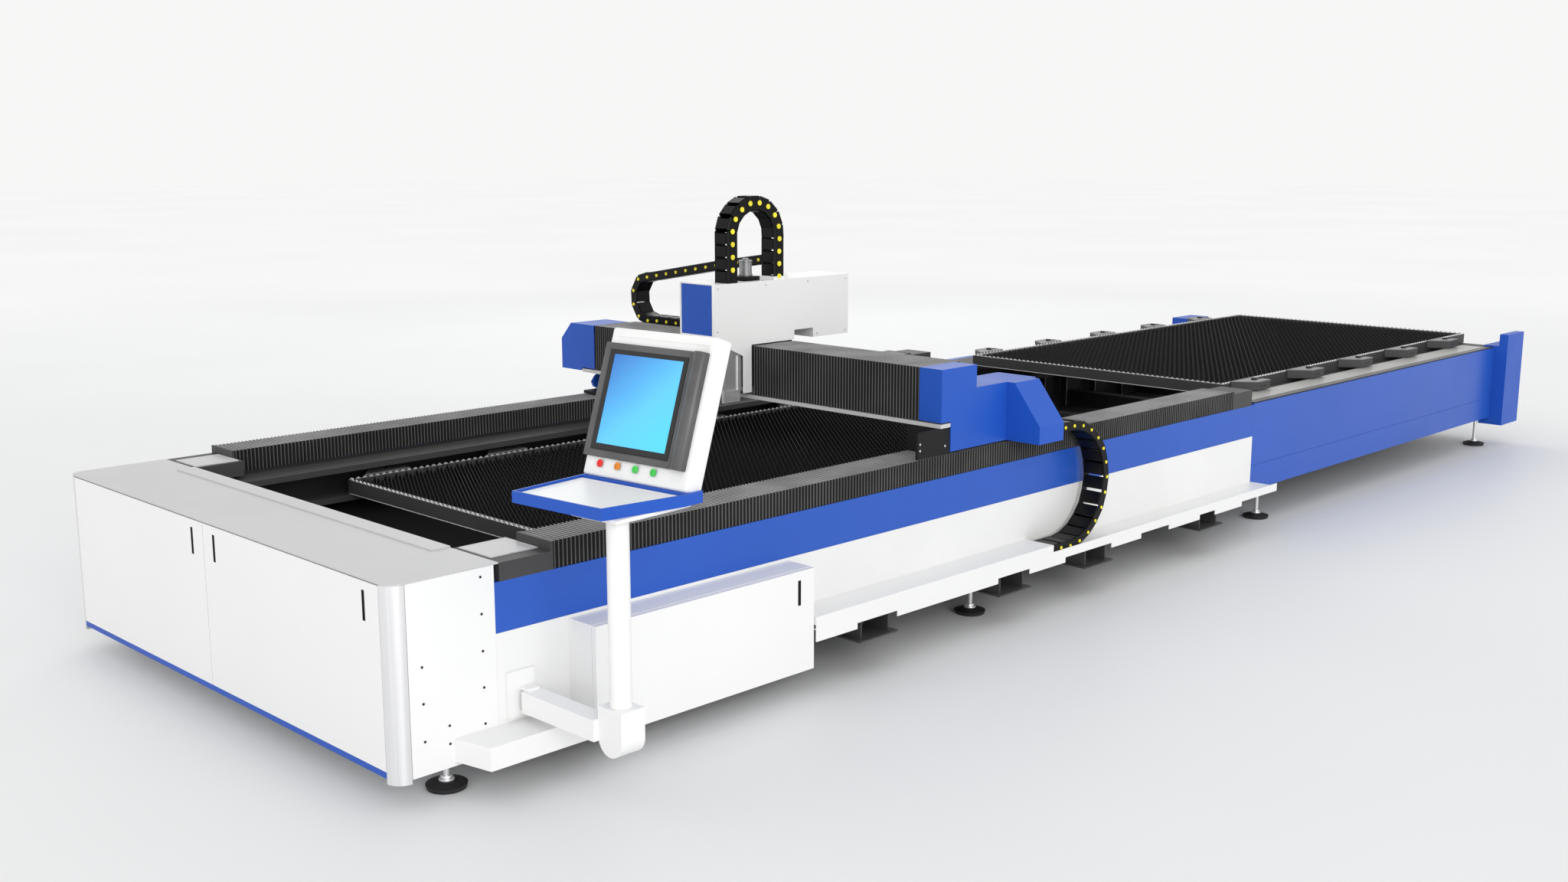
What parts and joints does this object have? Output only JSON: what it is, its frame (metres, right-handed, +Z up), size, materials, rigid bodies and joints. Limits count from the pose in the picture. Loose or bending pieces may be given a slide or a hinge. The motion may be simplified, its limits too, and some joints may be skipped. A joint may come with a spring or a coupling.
{
  "type": "laser cutting machine",
  "caption": "Gantry laser cutting machine for sheet metal, with a long bed, an operator's console on a swinging arm, bellows over the rails and a pallet exchange table.",
  "frame": {"origin": "centre of the bounding box at floor level", "axes": "+X along the machine from the cabinet to the exchange table, +Y away from the operator's console, +Z up"},
  "size_m": [8.205, 2.8632, 1.6785],
  "materials": {
    "white_paint": "semi-gloss powder coat",
    "grey_paint": "semi-gloss powder coat",
    "blue_paint": "semi-gloss powder coat",
    "satin_steel": "satin",
    "rail_steel": "satin",
    "dark_steel": "dull",
    "black_rubber": "matte folded cloth",
    "black_plastic": "matte",
    "screen_glass": "glossy",
    "red_plastic": "glossy",
    "orange_plastic": "glossy",
    "green_plastic": "glossy",
    "head_aluminium": "satin"
  },
  "bodies": {
    "bed": {"cabinet_shell": "white_paint", "cabinet_top": "grey_paint", "corner_columns": "satin_steel", "kick_strip": "blue_paint", "side_beams": "blue_paint", "side_panels": "white_paint", "bed_frame": "dark_steel", "bed_floor": "dark_steel", "x_rails": "satin_steel", "bellows_end_blocks": "dark_steel", "cable_trays": "white_paint", "tray_cover": "white_paint", "anchor_brackets": "dark_steel", "foot_pads": "black_rubber", "foot_studs": "satin_steel", "electrical_box": "white_paint", "exchange_sides": "blue_paint", "exchange_end_posts": "blue_paint", "exchange_cross_frame": "dark_steel", "pallet_rails": "rail_steel", "exchange_top_strips": "rail_steel", "console_flange": "white_paint", "rail_bellows_front": "black_rubber", "rail_bellows_rear": "black_rubber", "x_chain": "black_plastic"},
    "door_far": {"cabinet_door_far": "white_paint"},
    "door_near": {"cabinet_door_near": "white_paint"},
    "box_door": {"electrical_door": "white_paint"},
    "arm": {"console_arm": "white_paint"},
    "console": {"console_post": "white_paint", "console_tray": "blue_paint", "console_housing": "white_paint", "console_screen": "screen_glass"},
    "red_button": {"button_red": "red_plastic"},
    "orange_button": {"button_orange": "orange_plastic"},
    "left_green_button": {"button_green_left": "green_plastic"},
    "right_green_button": {"button_green_right": "green_plastic"},
    "gantry": {"gantry_beam": "rail_steel", "saddle_blocks": "dark_steel", "saddle_skirts": "black_rubber", "saddle_cover_near": "blue_paint", "saddle_cover_far": "blue_paint", "y_rails": "satin_steel", "x_motors": "black_plastic", "gantry_bellows_near": "black_rubber", "gantry_bellows_far": "black_rubber", "y_chain": "black_plastic"},
    "carriage": {"carriage_cover": "white_paint", "carriage_front_panel": "blue_paint", "carriage_plate": "dark_steel", "drive_motors": "black_plastic", "z_chain": "black_plastic"},
    "head": {"z_plate": "satin_steel", "laser_head": "head_aluminium"},
    "outer_pallet": {"outer_pallet_frame": "dark_steel", "outer_pallet_slats": "dark_steel"},
    "inner_pallet": {"inner_pallet_frame": "dark_steel", "inner_pallet_slats": "dark_steel"}
  },
  "joints": [
    {"name": "gantry_slide", "type": "slide", "parent": "bed", "child": "gantry", "axis": [1, 0, 0], "range_m": [-1.4, 1.4], "deforming": ["rail_bellows_front", "rail_bellows_rear", "x_chain"]},
    {"name": "carriage_slide", "type": "slide", "parent": "gantry", "child": "carriage", "axis": [0, 1, 0], "range_m": [-0.725, 0.73], "deforming": ["gantry_bellows_near", "gantry_bellows_far", "y_chain"]},
    {"name": "z_slide", "type": "slide", "parent": "carriage", "child": "head", "axis": [0, 0, 1], "range_m": [-0.235, 0.005], "deforming": ["z_chain"]},
    {"name": "inner_pallet_slide", "type": "slide", "parent": "bed", "child": "inner_pallet", "axis": [1, 0, 0], "range_m": [0, 4.115]},
    {"name": "outer_pallet_slide", "type": "slide", "parent": "bed", "child": "outer_pallet", "axis": [1, 0, 0], "range_m": [-4.115, 0]},
    {"name": "near_door_hinge", "type": "hinge", "parent": "bed", "child": "door_near", "pos_m": [-4.1025, -0.87944, 0.4], "axis": [0, 0, 1], "range_deg": [0, 110]},
    {"name": "far_door_hinge", "type": "hinge", "parent": "bed", "child": "door_far", "pos_m": [-4.1025, 1.23256, 0.4], "axis": [0, 0, -1], "range_deg": [0, 110]},
    {"name": "box_door_hinge", "type": "hinge", "parent": "bed", "child": "box_door", "pos_m": [-3.4715, -1.06344, 0.27], "axis": [0, 0, -1], "range_deg": [0, 90]},
    {"name": "arm_swing", "type": "hinge", "parent": "bed", "child": "arm", "pos_m": [-3.653, -0.96944, 0.242], "axis": [0, 0, 1], "range_deg": [-30, 5]},
    {"name": "console_swivel", "type": "hinge", "parent": "arm", "child": "console", "pos_m": [-3.6225, -1.36344, 0.6], "axis": [0, 0, 1], "range_deg": [-60, 60]},
    {"name": "red_button_press", "type": "slide", "parent": "console", "child": "red_button", "axis": [0.9447, 0.0827, -0.3173], "range_m": [0, 0.003], "stiffness_N_per_m": 400},
    {"name": "orange_button_press", "type": "slide", "parent": "console", "child": "orange_button", "axis": [0.9447, 0.0827, -0.3173], "range_m": [0, 0.003], "stiffness_N_per_m": 400},
    {"name": "left_green_press", "type": "slide", "parent": "console", "child": "left_green_button", "axis": [0.9447, 0.0827, -0.3173], "range_m": [0, 0.003], "stiffness_N_per_m": 400},
    {"name": "right_green_press", "type": "slide", "parent": "console", "child": "right_green_button", "axis": [0.9447, 0.0827, -0.3173], "range_m": [0, 0.003], "stiffness_N_per_m": 400}
  ],
  "couplings": [
    {"joint": "outer_pallet_slide", "follows": "inner_pallet_slide", "ratio": -1}
  ]
}
